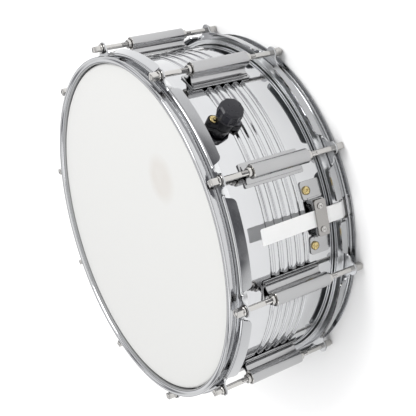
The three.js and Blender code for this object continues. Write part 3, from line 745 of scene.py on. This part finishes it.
def make_wires():
    low, high = 3.4, 4.8
    reach = SNARE_HALF - PLATE_LENGTH / 2
    coil, wire, turns, per_turn, sides = 0.52, 0.17, 150, 8, 4
    t = np.linspace(0, 1, turns * per_turn + 1)
    angle = 2 * math.pi * turns * t
    centre = np.stack([reach * (2 * t - 1), coil * np.cos(angle), coil * np.sin(angle)], 1)
    out = np.stack([np.zeros_like(t), np.cos(angle), np.sin(angle)], 1)
    points = []
    for k in range(sides):
        a = 2 * math.pi * k / sides
        points.append(centre + wire * (math.cos(a) * out + math.sin(a) * np.array([1.0, 0, 0])))
    grid = np.stack(points, 1).reshape(-1, 3)
    faces = ring_faces(len(t), sides)
    made = Build()
    for i in range(STRANDS):
        y = STRAND_PITCH * (i - (STRANDS - 1) / 2)
        made.add((grid, faces), shift(0, y, (low + high) / 2))
    coils = made.mesh("snare_coils", snare_steel, 0)
    plates = Build()
    for side in (-1, 1):
        x = side * (SNARE_HALF - PLATE_LENGTH / 2)
        plates.add(prism(rounded(PLATE_LENGTH / 2, PLATE_HALF, x, 0, 1.8), 4.05, 4.85))
        bar = side * (SNARE_HALF - PLATE_LENGTH + 1.2)
        plates.add(prism(rounded(1.0, PLATE_HALF - 0.6, bar, 0, 0.6), 3.35, 4.1))
        for y in (-17.5, 17.5):
            plates.add(lathe([(0, 3.3), (1.2, 3.4), (1.6, 3.8), (1.6, 4.1)], 16), shift(x + side * 2, y, 0))
    return coils, bevelled(plates.mesh("snare_plates", snare_steel, 0), 0.18, 1)


coils, end_plates = make_wires()
piece("snare_coils", coils, "snares", "snare_steel", "snare_wires", matrix=AT_BUTT)
piece("snare_end_plates", end_plates, "snares", "snare_steel", matrix=AT_BUTT)

# ---- Straps ----
STRAP_WIDTH, STRAP = 15.8, 0.45
BUTT_FACE, STRAINER_FACE = 184.6, 185.2
GATE_PATH = [(184.3, 15), (183.3, 12.4), (181.2, 9.8), (178.8, 6.2), (176.8, 4.4), (172, 3.4), (163, 2.8),
             (146, 2.8)]


def make_strap_mesh(name, points):
    """A strip along [x, z] points, its first end cut with round corners."""
    line = np.array(smooth_line(points, 6))
    gaps = np.diff(line, axis=0)
    travel = np.concatenate([[0], np.cumsum(np.linalg.norm(gaps, axis=1))])
    even = np.linspace(0, travel[-1], int(travel[-1] / 1.1) + 2)
    line = np.stack([np.interp(even, travel, line[:, k]) for k in (0, 1)], 1)
    slope = np.gradient(line, axis=0)
    slope /= np.linalg.norm(slope, axis=1)[:, None]
    normal = np.stack([-slope[:, 1], slope[:, 0]], 1)
    across = np.array([-1, -0.985, -0.95, -0.6, -0.2, 0.2, 0.6, 0.95, 0.985, 1]) * STRAP_WIDTH / 2
    crown = STRAP / 2 * np.array([0.35, 0.85, 1, 1, 1, 1, 1, 1, 0.85, 0.35])
    points = []
    for i, (p, n) in enumerate(zip(line, normal)):
        short = 1.0 if even[i] > 1.2 else 0.9 + 0.1 * math.sqrt(even[i] / 1.2)
        top = [(p[0] + n[0] * c, y * short, p[1] + n[1] * c) for y, c in zip(across, crown)]
        bottom = [(p[0] - n[0] * c, y * short, p[1] - n[1] * c) for y, c in zip(across[::-1], crown[::-1])]
        points += top + bottom
    columns = 2 * len(across)
    faces = ring_faces(len(line), columns)
    last = (len(line) - 1) * columns
    faces += [list(range(columns))[::-1], [last + i for i in range(columns)]]
    return Build().add((points, faces)).mesh(name, strap_film, 50)


def in_row(angle, x, y, z):
    return [c * MM for c in station(angle) @ Vector((x, y, z))]


def strap_piece(name, run, angle, a, b, start, end, *nodes):
    obj = link(name, make_strap_mesh(name, run), station(angle))
    in_row(angle, *start)
    in_row(angle, *end)
    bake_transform(obj)
    if nodes:
        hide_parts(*nodes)
    return obj


strap_x = BUTT_FACE + 0.5
butt_run = [(188, 111), (187.2, 92), (186.2, 72), (strap_x + 0.2, 56), (strap_x, 48), (strap_x, 32),
            (185, 24), *GATE_PATH]
strap_piece("butt_strip", butt_run, BUTT_ANGLE, "drum", "snares", (185, 0, 26), (176, 0, 3.5), "butt_strap")
strap_x = STRAINER_FACE + 0.5
upper_run = [(strap_x, 49.5), (strap_x, 40), (strap_x, 32), (185, 24), *GATE_PATH[:4]]
strap_piece("strainer_strip_upper", upper_run, STRAINER_ANGLE, "carriage", "drum", (185, 0, 31),
            (179.5, 0, 7.2), "strainer_strap")
strap_piece("strainer_strip_lower", GATE_PATH[3:], STRAINER_ANGLE, "drum", "snares", (178, 0, 5.4),
            (172, 0, 3.4))


# ---- Screws ----
def cross_recess(size, depth, top):
    arm, thin = size, size * 0.3
    outline = [
        (arm, -thin), (arm, thin), (thin, thin), (thin, arm), (-thin, arm), (-thin, thin),
        (-arm, thin), (-arm, -thin), (-thin, -thin), (-thin, -arm), (thin, -arm), (thin, -thin),
    ]
    points = [(x * 0.55, y * 0.55, top - depth) for x, y in outline] + [(x, y, top + 1) for x, y in outline]
    return points, end_to_end(len(outline))


def make_screw(name, radius, height, shank, length, material, washer=0.0):
    """A domed cross-head screw on +X, its seat at x = 0."""
    quarter = np.linspace(0, math.pi / 2, 9)
    dome = [(radius * math.cos(a), height * 0.32 + height * 0.68 * math.sin(a)) for a in quarter]
    outline = [(0, -length), (shank, -length), (shank, 0), (radius * 0.97, 0), *dome[:-1], (0, height)]
    head = Build().add(lathe(outline, 32), LIE_OUT)
    if washer:
        ring = [(shank + 0.1, -0.5), (washer, -0.5), (washer, -0.1), (washer - 0.3, 0.05),
                (shank + 0.1, 0.05)]
        head.add(lathe(ring, 36, True), LIE_OUT)
    return cut_from(head.mesh(name, material, 34),
                    (cross_recess(radius * 0.52, height * 0.62, height), LIE_OUT))


FOOT_ANGLE, FOOT_Z = 8.6, 46.5
BACK = ON_SHELL + SHEET  # the outside of a foot or back plate
RAISED_HALF = 18.2  # half the width of the raised face between the feet
CLAMP = {"half": 17.5, "low": 33.5, "high": 47, "thickness": 1.7, "screw_y": 11.3, "screw_z": 41}
CLAMP_GAP = 1.1  # from the face under the strap to the clamp plate
PROUD = 0.05  # a screw head stands this far off its seat
small_screw = make_screw("small_screw", 3.1, 2.1, 1.5, 7.0, nickel)
brass_screw = make_screw("brass_screw", 4.3, 2.9, 1.9, 9.0, brass)
clamp_z = (CLAMP["low"] + CLAMP["high"]) / 2
clamp_half_z = (CLAMP["high"] - CLAMP["low"]) / 2


def make_clamp(face):
    low = face + CLAMP_GAP
    outline = rounded(CLAMP["half"], clamp_half_z, 0, clamp_z, 2.6)
    plate = Build().add(prism(outline, low, low + CLAMP["thickness"], "X"))
    return bevelled(plate.mesh("clamp", satin_chrome, 0), 0.45, 3)


def clamp_screw_at(place, face, side, slot):
    """Where a clamp's screw sits, with its cross at slot degrees."""
    seat = face + CLAMP_GAP + CLAMP["thickness"] + PROUD
    return place @ shift(seat, side * CLAMP["screw_y"], CLAMP["screw_z"]) @ turn(slot, "X")


def bracket_feet(build, face, low, high):
    """A pair of feet on the shell, each rising in a bent leg to the raised face."""
    foot_mid, foot_half = (28.5 + 51.8) / 2, (51.8 - 28.5) / 2
    for side in (-1, 1):
        outline = rounded(9, foot_half, 0, foot_mid, 3.4)
        build.add(prism(outline, ON_SHELL, ON_SHELL + SHEET, "X"), turn(side * FOOT_ANGLE))
        leg = smooth_line([(ON_SHELL - 0.2 + SHEET / 2, side * 19.4), (ON_SHELL + 1.0, side * 17.9),
                           (ON_SHELL + 2.2, side * 17.3), (face - 1.4, side * 17.3)], 4)
        build.add(prism(thick(leg, SHEET), low, high))
    return build


# ---- Butt ----
butt = bracket_feet(Build(), BUTT_FACE, CLAMP["low"], CLAMP["high"])
butt.add(prism(rounded(RAISED_HALF, clamp_half_z, 0, clamp_z, 1.2), BUTT_FACE - SHEET, BUTT_FACE, "X"))
piece("butt_plate", bevelled(butt.mesh("butt_plate", lug_chrome_painted_shade, 0), 0.32, 2), "drum", "chrome_plate",
      "butt_bracket", matrix=AT_BUTT)
piece("butt_clamp", make_clamp(BUTT_FACE), "drum", "chrome_plate", "butt_clamp_plate",
      matrix=AT_BUTT)
for label, side in (("left", -1), ("right", 1)):
    at = clamp_screw_at(AT_BUTT, BUTT_FACE, side, 17 + 40 * side)
    piece(f"clamp_screw_{label}", small_screw, "drum", "nickel_plate", f"butt_clamp_screw_{label}", matrix=at)
    foot = station(BUTT_ANGLE + side * FOOT_ANGLE) @ shift(BACK + PROUD, 0, FOOT_Z)
    at = foot @ turn(12 + 25 * side, "X")
    piece(f"mounting_screw_{label}", brass_screw, "drum", "brass_screw", f"butt_mounting_screw_{label}",
          matrix=at)

# ---- Strainer ----
PIVOT_X, PIVOT_Z = 190, 84
CRANK_X, CRANK_Z = PIVOT_X + 4 * math.cos(math.radians(50)), PIVOT_Z + 4 * math.sin(math.radians(50))
SCREW_X = 188.5
WALL_REACH, WALL_LOW, WALL_HIGH, WALL_CORNER = 194, 57, 96, 7
WALL_IN, CHEEK_IN = 15, 12.3  # from the middle to the frame's walls and to the lever's cheeks


def bar_outline(radius, low, high, rim):
    """Half the section of a round bar with chamfered ends."""
    flat = radius - rim
    return [(0, low), (flat, low), (radius, low + rim), (radius, high - rim), (flat, high), (0, high)]


def bar_y(radius, low, high, x, z, sides=32, rim=0.3):
    return lathe(bar_outline(radius, low, high, rim), sides), shift(x, 0, z) @ turn(-90, "X")


def bar_z(radius, low, high, x, sides=32, rim=0.3):
    return lathe(bar_outline(radius, low, high, rim), sides), shift(x, 0, 0)


base = bracket_feet(Build(), BACK + 1.2, 34, 51.8)
base.add(prism(rounded(RAISED_HALF, 39, 0, 73, 4), ON_SHELL, BACK, "X"))
corner_x = WALL_REACH - WALL_CORNER
wall_corners = arc(corner_x, WALL_LOW + WALL_CORNER, WALL_CORNER, 270, 360, 5)
wall_corners += arc(corner_x, WALL_HIGH - WALL_CORNER, WALL_CORNER, 0, 90, 5)
wall = [(BACK - 0.4, WALL_LOW), (corner_x, WALL_LOW), *wall_corners, (BACK - 0.4, WALL_HIGH)]
for side in (-1, 1):
    base.add(prism(wall, *on_side(side, WALL_IN, WALL_IN + SHEET), "Y"))
    base.add(*bar_y(2.2, *on_side(side, CHEEK_IN, 17.7), PIVOT_X, PIVOT_Z))
piece("strainer_frame", bevelled(base.mesh("strainer_frame", chrome, 0), 0.3, 2), "drum", "chrome_plate",
      "strainer_base", matrix=AT_STRAINER)

for side in (-1, 1):
    mesh_at = turn(side * FOOT_ANGLE) @ shift(BACK + PROUD, 0, FOOT_Z)
    piece(f"strainer_screw_{'left' if side < 0 else 'right'}", brass_screw, "drum", "brass_screw",
          matrix=AT_STRAINER @ mesh_at)

yoke = Build().add(prism(rounded(7.4, 11.8, 188.4, 0, 1.2), 78, 92)).mesh("yoke", nickel, 0)
slots = []
for side in (-1, 1):
    y0, y1 = on_side(side, 9.2, 13)
    slots.append((block((189, y0, CRANK_Z - 2.3), (199, y1, CRANK_Z + 2.3)), None))
yoke = cut_from(yoke, *slots, bar_z(2.9, 76, 94, SCREW_X))
piece("strainer_block", bevelled(yoke, 0.35, 2), "carriage", "nickel_plate", "strainer_yoke",
      matrix=AT_STRAINER)

slide = Build().add(prism(rounded((194 - BACK - 1) / 2, 10, (195 + BACK) / 2, 0, 1.2), 50, 63))
slide.add(prism(rounded(16.5, (52 - 33.5) / 2, 0, (52 + 33.5) / 2, 1.2), BACK + 1, STRAINER_FACE, "X"))
slide = cut_from(slide.mesh("slide", chrome, 0), bar_z(2.6, 49, 65, SCREW_X))
piece("strainer_slide", bevelled(slide, 0.35, 2), "carriage", "chrome_plate", "strainer_clamp_block",
      matrix=AT_STRAINER)
piece("strainer_clamp", make_clamp(STRAINER_FACE), "carriage", "chrome_plate", "strainer_clamp_plate",
      matrix=AT_STRAINER)
for label, side in (("left", -1), ("right", 1)):
    at = clamp_screw_at(AT_STRAINER, STRAINER_FACE, side, 31 - 20 * side)
    piece(f"strainer_clamp_screw_{label}", small_screw, "carriage", "nickel_plate", matrix=at)

lever = Build()
hub = arc(PIVOT_X, PIVOT_Z, 6.2, 160, 340, 14)
arm_outline = hub + smooth_line([(196.6, 83), (199.0, 89), (199.4, 96), (199.4, 116)], 4)
arm_outline += smooth_line([(197.6, 117), (197.2, 106), (196.0, 98), (191, 93.4), (186.5, 90.2)], 4)
for side in (-1, 1):
    lever.add(prism(arm_outline, *on_side(side, CHEEK_IN, CHEEK_IN + SHEET), "Y"))
    lever.add(*bar_y(1.5, *on_side(side, 9.6, 13), CRANK_X, CRANK_Z, 24, 0.2))
grip = smooth_line([(198.5, 99), (198.5, 108), (198.5, 116), (199.0, 120.5), (200.9, 124.6)], 6)
lever.add(prism(thick(grip, 1.8), -13.8, 13.8, "Y"))
piece("strainer_handle", bevelled(lever.mesh("lever", chrome, 0), 0.4, 2), "lever", "chrome_plate",
      "strainer_lever", matrix=AT_STRAINER)


def make_tension_screw():
    line = [(0, 54), (1.9, 54)]
    z = 54.8
    while z < 74:
        line += [(2.4, z), (2.05, z + THREAD / 2)]
        z += THREAD
    line += [(2.4, 75), (4.4, 75), (4.6, 75.3), (4.6, 77.2), (4.4, 77.5), (2.4, 77.5), (2.4, 94), (0, 94)]
    screw = Build().add(lathe(line, 24), shift(SCREW_X, 0, 0))
    teeth = 36
    angles = np.linspace(0, 2 * math.pi, teeth * 4, endpoint=False)
    sections = [(94, 0.88), (94.9, 0.99), (95.1, 1.0), (103.9, 1.0), (104.1, 0.99), (105, 0.86)]
    points = []
    for z, k in sections:
        for a in angles:
            tooth = 0.28 * (0.5 + 0.5 * math.cos(teeth * a)) if 94.9 < z < 104.1 else 0.1
            r = (6.6 + tooth) * k
            points.append((SCREW_X + r * math.cos(a), r * math.sin(a), z))
    n = len(angles)
    last = (len(sections) - 1) * n
    faces = ring_faces(len(sections), n) + [list(range(n))[::-1], [last + i for i in range(n)]]
    return screw.add((points, faces)).mesh("tension_screw", nickel, 34)


piece("strainer_knob", make_tension_screw(), "tension_screw", "nickel_plate", "strainer_tension_screw",
      matrix=AT_STRAINER)

# ---- Muffler ----
MUFFLER_Z = 102.5
SCREW_REACH, SCREW_LEAN = 11.4, 24
BASE_THICK = 5.0
HINGE_X, HINGE_Z = 167, 118
KNOB_RADIUS, KNOB_LOW, KNOB_HIGH = 12.0, 190.0, 204.6


def muffler_screw_at(side):
    lean = math.radians(SCREW_LEAN)
    return side * SCREW_REACH * math.sin(lean), MUFFLER_Z + side * SCREW_REACH * math.cos(lean)


def make_muffler_base():
    ends = []
    for start, along in ((0, SCREW_REACH), (180, -SCREW_REACH)):
        for y, z in arc(0, along, 5.4, start, start + 180, 14):
            a = math.radians(-SCREW_LEAN)
            ends.append((y * math.cos(a) - z * math.sin(a), MUFFLER_Z + y * math.sin(a) + z * math.cos(a)))
    made = Build().add(prism(ends, ON_SHELL, ON_SHELL + BASE_THICK, "X"))
    top = ON_SHELL + BASE_THICK
    collar = [(3.2, ON_SHELL), (8.6, ON_SHELL), (8.6, 188.8), (8.2, 189.4), (7.4, 189.7), (3.2, 189.7)]
    made.add(lathe(collar, 48, True), shift(0, 0, MUFFLER_Z) @ LIE_OUT)
    for side in (-1, 1):
        y, z = muffler_screw_at(side)
        boss = [(0, top - 1), (4.9, top - 1), (4.9, top - 0.2), (4.6, top - 0.02), (0, top - 0.02)]
        made.add(lathe(boss, 36), shift(0, y, z) @ LIE_OUT)
    return bevelled(made.mesh("muffler_base", black_plastic, 0), 0.45, 3)


def make_knob():
    """Ten flutes round a cap of ten shallow facets, on its shaft with a sloping cam."""
    sides, per_side = 10, 8
    angles = np.linspace(0, 2 * math.pi, sides * per_side, endpoint=False)
    half = math.pi / sides

    def radius(a, depth):
        within = (a % (2 * half)) - half
        flat = KNOB_RADIUS * math.cos(half) / math.cos(within)
        return flat - depth * math.cos(within / half * math.pi / 2) ** 0.8

    sections = [
        (KNOB_LOW, 0.90, 0.0), (190.3, 0.96, 0.0), (191.3, 1.0, 0.1), (191.7, 1.0, 1.0), (200.3, 0.985, 1.0),
        (201.3, 0.975, 0.5), (202.0, 0.97, 0.0), (202.5, 0.94, 0.0), (203.7, 0.86, 0.0), (204.2, 0.55, 0.0),
        (204.5, 0.25, 0.0),
    ]
    points = [
        (x, radius(a, depth) * k * math.cos(a), MUFFLER_Z + radius(a, depth) * k * math.sin(a))
        for x, k, depth in sections for a in angles
    ]
    n = len(angles)
    faces = ring_faces(len(sections), n) + [list(range(n))[::-1]]
    points.append((KNOB_HIGH, 0, MUFFLER_Z))
    last = (len(sections) - 1) * n
    faces += [[last + i, last + (i + 1) % n, len(points) - 1] for i in range(n)]
    cap = Build().add((points, faces))
    shaft = [(0, 167), (2.6, 167), (2.6, KNOB_LOW + 1), (0, KNOB_LOW + 1)]
    cap.add(lathe(shaft, 24), shift(0, 0, MUFFLER_Z) @ LIE_OUT)
    cam = Build().add(lathe([(0, 160), (8, 160), (8, 171.3), (7.8, 171.5), (0, 171.5)], 48),
                      shift(0, 0, MUFFLER_Z) @ LIE_OUT)
    wedge = prism([(150, MUFFLER_Z - 12), (169.3, MUFFLER_Z - 12), (164.2, MUFFLER_Z + 12),
                   (150, MUFFLER_Z + 12)], -12, 12, "Y")
    cam_mesh = cut_from(cam.mesh("cam", black_plastic, 34), (wedge, None))
    return cap.mesh("knob", knob_plastic, 20), cam_mesh


piece("muffler_mount", make_muffler_base(), "drum", "black_plastic", "muffler_base", matrix=AT_MUFFLER)
knob_mesh, cam_mesh = make_knob()
piece("muffler_handle", knob_mesh, "muffler_knob", "black_plastic", "muffler_knob", matrix=AT_MUFFLER)
piece("muffler_cam", cam_mesh, "muffler_knob", "black_plastic", matrix=AT_MUFFLER)
# The lower screw's near-black metal is painted shade and reflection of the knob above it.
for label, side, metal in (("lower", -1, screw_painted_shade), ("upper", 1, brass)):
    y, z = muffler_screw_at(side)
    mesh = make_screw(f"muffler_screw_mesh_{label}", 3.9, 2.5, 1.6, 12.0, metal)
    at = AT_MUFFLER @ shift(ON_SHELL + BASE_THICK + PROUD, y, z) @ turn(20 * side, "X")
    piece(f"muffler_fixing_{label}", mesh, "drum", "brass_screw", f"muffler_screw_{label}", matrix=at)

cheek = arc(HINGE_X, HINGE_Z + 0.5, 4, 90, 270, 8) + [(172.6, 114.5), (172.6, 122.5)]
bracket = Build().add(prism(rounded(9, 18.5, 0, 106.5, 2.5), 172, 173.5, "X"))
for side in (-1, 1):
    bracket.add(prism(cheek, *on_side(side, 7.2, 9), "Y"))
bracket.add(*bar_y(1.6, -9.4, 9.4, HINGE_X, HINGE_Z, 20, 0.2))
piece("muffler_hinge", bevelled(bracket.mesh("muffler_hinge", nickel, 0), 0.25, 2), "drum", "nickel_plate",
      "muffler_bracket", matrix=AT_MUFFLER)

arm = Build()
strip = smooth_line([(165.4, 120.9), (158, 121.3), (150, 122.2), (138, 127.2), (128, 131.0), (118, 133.1),
                     (104, 133.1), (85, 133.1)], 5)
arm.add(prism(thick(strip, 1.0), -5, 5, "Y"))
arm.add(prism(thick(smooth_line([(163.8, 108.6), (163.7, 113), (164.2, 117.6)], 4), 1.2), -5, 5, "Y"))
arm.add(lathe([(1.95, -6.6), (3.4, -6.6), (3.4, 6.6), (1.95, 6.6)], 32, True),
        shift(HINGE_X, 0, HINGE_Z) @ turn(-90, "X"))
arm.add(*bar_z(19, 132.65, 133.55, PAD_REACH, 64, 0.2))
piece("muffler_spring_arm", bevelled(arm.mesh("muffler_arm", nickel, 0), 0.15, 1), "muffler_arm",
      "nickel_plate", "muffler_arm", matrix=AT_MUFFLER)


def make_pad():
    """A pressed felt disc with soft edges and a slightly uneven face."""
    low, high, radius = 133.9, 144.9, PAD_RADIUS
    outline = [(0, low)] + [(r, low) for r in np.linspace(4, radius - 1.2, 8)]
    outline += arc(radius - 1.2, low + 1.2, 1.2, -60, 0, 3)
    outline += [(radius, z) for z in np.linspace(low + 3, high - 3, 5)]
    outline += arc(radius - 1.6, high - 1.6, 1.6, 0, 70, 4)
    outline += [(r, high) for r in np.linspace(radius - 2.6, 4, 8)] + [(0, high)]
    points, faces = lathe(outline, 72)
    random = np.random.default_rng(7)
    points = np.array(points)
    rough = random.normal(0, 0.05, len(points))
    reach = np.hypot(points[:, 0], points[:, 1])
    points[:, :2] *= (1 - np.abs(rough) / 60)[:, None]
    points[:, 2] -= np.where(reach < radius - 0.5, np.abs(rough) * (points[:, 2] > MID + 60), 0)
    return Build().add((points, faces), shift(PAD_REACH, 0, 0)).mesh("felt_pad", felt, 60)


pad = piece("felt_damper", make_pad(), "muffler_arm", "felt", "muffler_felt_pad", matrix=AT_MUFFLER)


# ---- Floor, light and camera ----
def make_floor():
    f = Finish("pale_floor", (0.93, 0.93, 0.93), 0.85, Specular_IOR_Level=0.1)
    size = 8.0
    mesh = bpy.data.meshes.new("floor")
    n = 96
    ring = [(size * math.cos(2 * math.pi * i / n), size * math.sin(2 * math.pi * i / n), 0) for i in range(n)]
    mesh.from_pydata(ring, [], [list(range(n))])
    mesh.materials.append(f.material)
    obj = link("floor", mesh)


def make_world():
    """A bright dome over a dark horizon, with darker gaps, so that bright metal has something to show."""
    world = bpy.data.worlds.new("studio")
    bpy.context.scene.world = world
    world.use_nodes = True
    nodes, links = world.node_tree.nodes, world.node_tree.links
    coordinates = nodes.new("ShaderNodeTexCoord")
    split = nodes.new("ShaderNodeSeparateXYZ")
    links.new(coordinates.outputs["Generated"], split.inputs[0])
    ramp = nodes.new("ShaderNodeValToRGB")
    stops = [
        (0.0, (0.8, 0.8, 0.8)), (0.497, (0.8, 0.8, 0.8)), (0.503, (0.14, 0.14, 0.15)),
        (0.535, (0.10, 0.10, 0.11)), (0.575, (0.75, 0.75, 0.77)), (0.64, (1.15, 1.15, 1.16)),
        (0.70, (1.15, 1.15, 1.15)), (0.725, (0.30, 0.30, 0.32)), (0.75, (0.28, 0.28, 0.30)),
        (0.775, (1.15, 1.15, 1.15)), (0.83, (1.15, 1.15, 1.15)), (0.85, (0.08, 0.08, 0.10)),
        (0.88, (0.07, 0.07, 0.09)), (0.90, (1.4, 1.4, 1.4)), (1.0, (1.35, 1.35, 1.33)),
    ]
    points = ramp.color_ramp.elements
    while len(points) < len(stops):
        points.new(0.5)
    for point, (position, color) in zip(points, stops):
        point.position, point.color = position, (*color, 1)
    height = nodes.new("ShaderNodeMapRange")
    height.inputs["From Min"].default_value = -1
    links.new(split.outputs["Z"], height.inputs["Value"])
    links.new(height.outputs["Result"], ramp.inputs["Fac"])
    links.new(ramp.outputs["Color"], nodes["Background"].inputs["Color"])
    nodes["Background"].inputs["Strength"].default_value = 1.15


def area_light(name, location, target, size, power):
    data = bpy.data.lights.new(name, "AREA")
    data.shape, data.size, data.energy = "DISK", size, power
    obj = link(name, data)
    obj.location = location
    obj.rotation_euler = (Vector(target) - Vector(location)).to_track_quat("-Z", "Y").to_euler()


def make_camera():
    """Its roll lays the drum's axis nearly across the picture."""
    data = bpy.data.cameras.new("camera")
    data.lens, data.sensor_width, data.clip_start, data.clip_end = 67.91, 36, 0.01, 50
    obj = link("camera", data)
    target, distance = Vector((0.0303, 0.0269, 0.0755)), 0.8396
    azimuth, elevation, roll = map(math.radians, (42.345, 28.78, 107.05))
    flat = math.cos(elevation)
    back = Vector((flat * math.cos(azimuth), flat * math.sin(azimuth), math.sin(elevation)))
    level_right = Vector((-math.sin(azimuth), math.cos(azimuth), 0))
    level_up = back.cross(level_right)
    up = math.cos(roll) * level_up + math.sin(roll) * level_right
    right = up.cross(back)
    rotation = Matrix((right, up, back)).transposed().to_4x4()
    obj.matrix_world = Matrix.Translation(target + back * distance) @ rotation
    bpy.context.scene.camera = obj


make_floor()
make_world()
area_light("key", (-0.4, 0.9, 1.5), (0, 0, 0.08), 0.9, 14)
area_light("fill", (1.1, -0.7, 1.1), (0, 0, 0.08), 0.8, 2)
make_camera()
bpy.context.scene.view_settings.view_transform = "Standard"
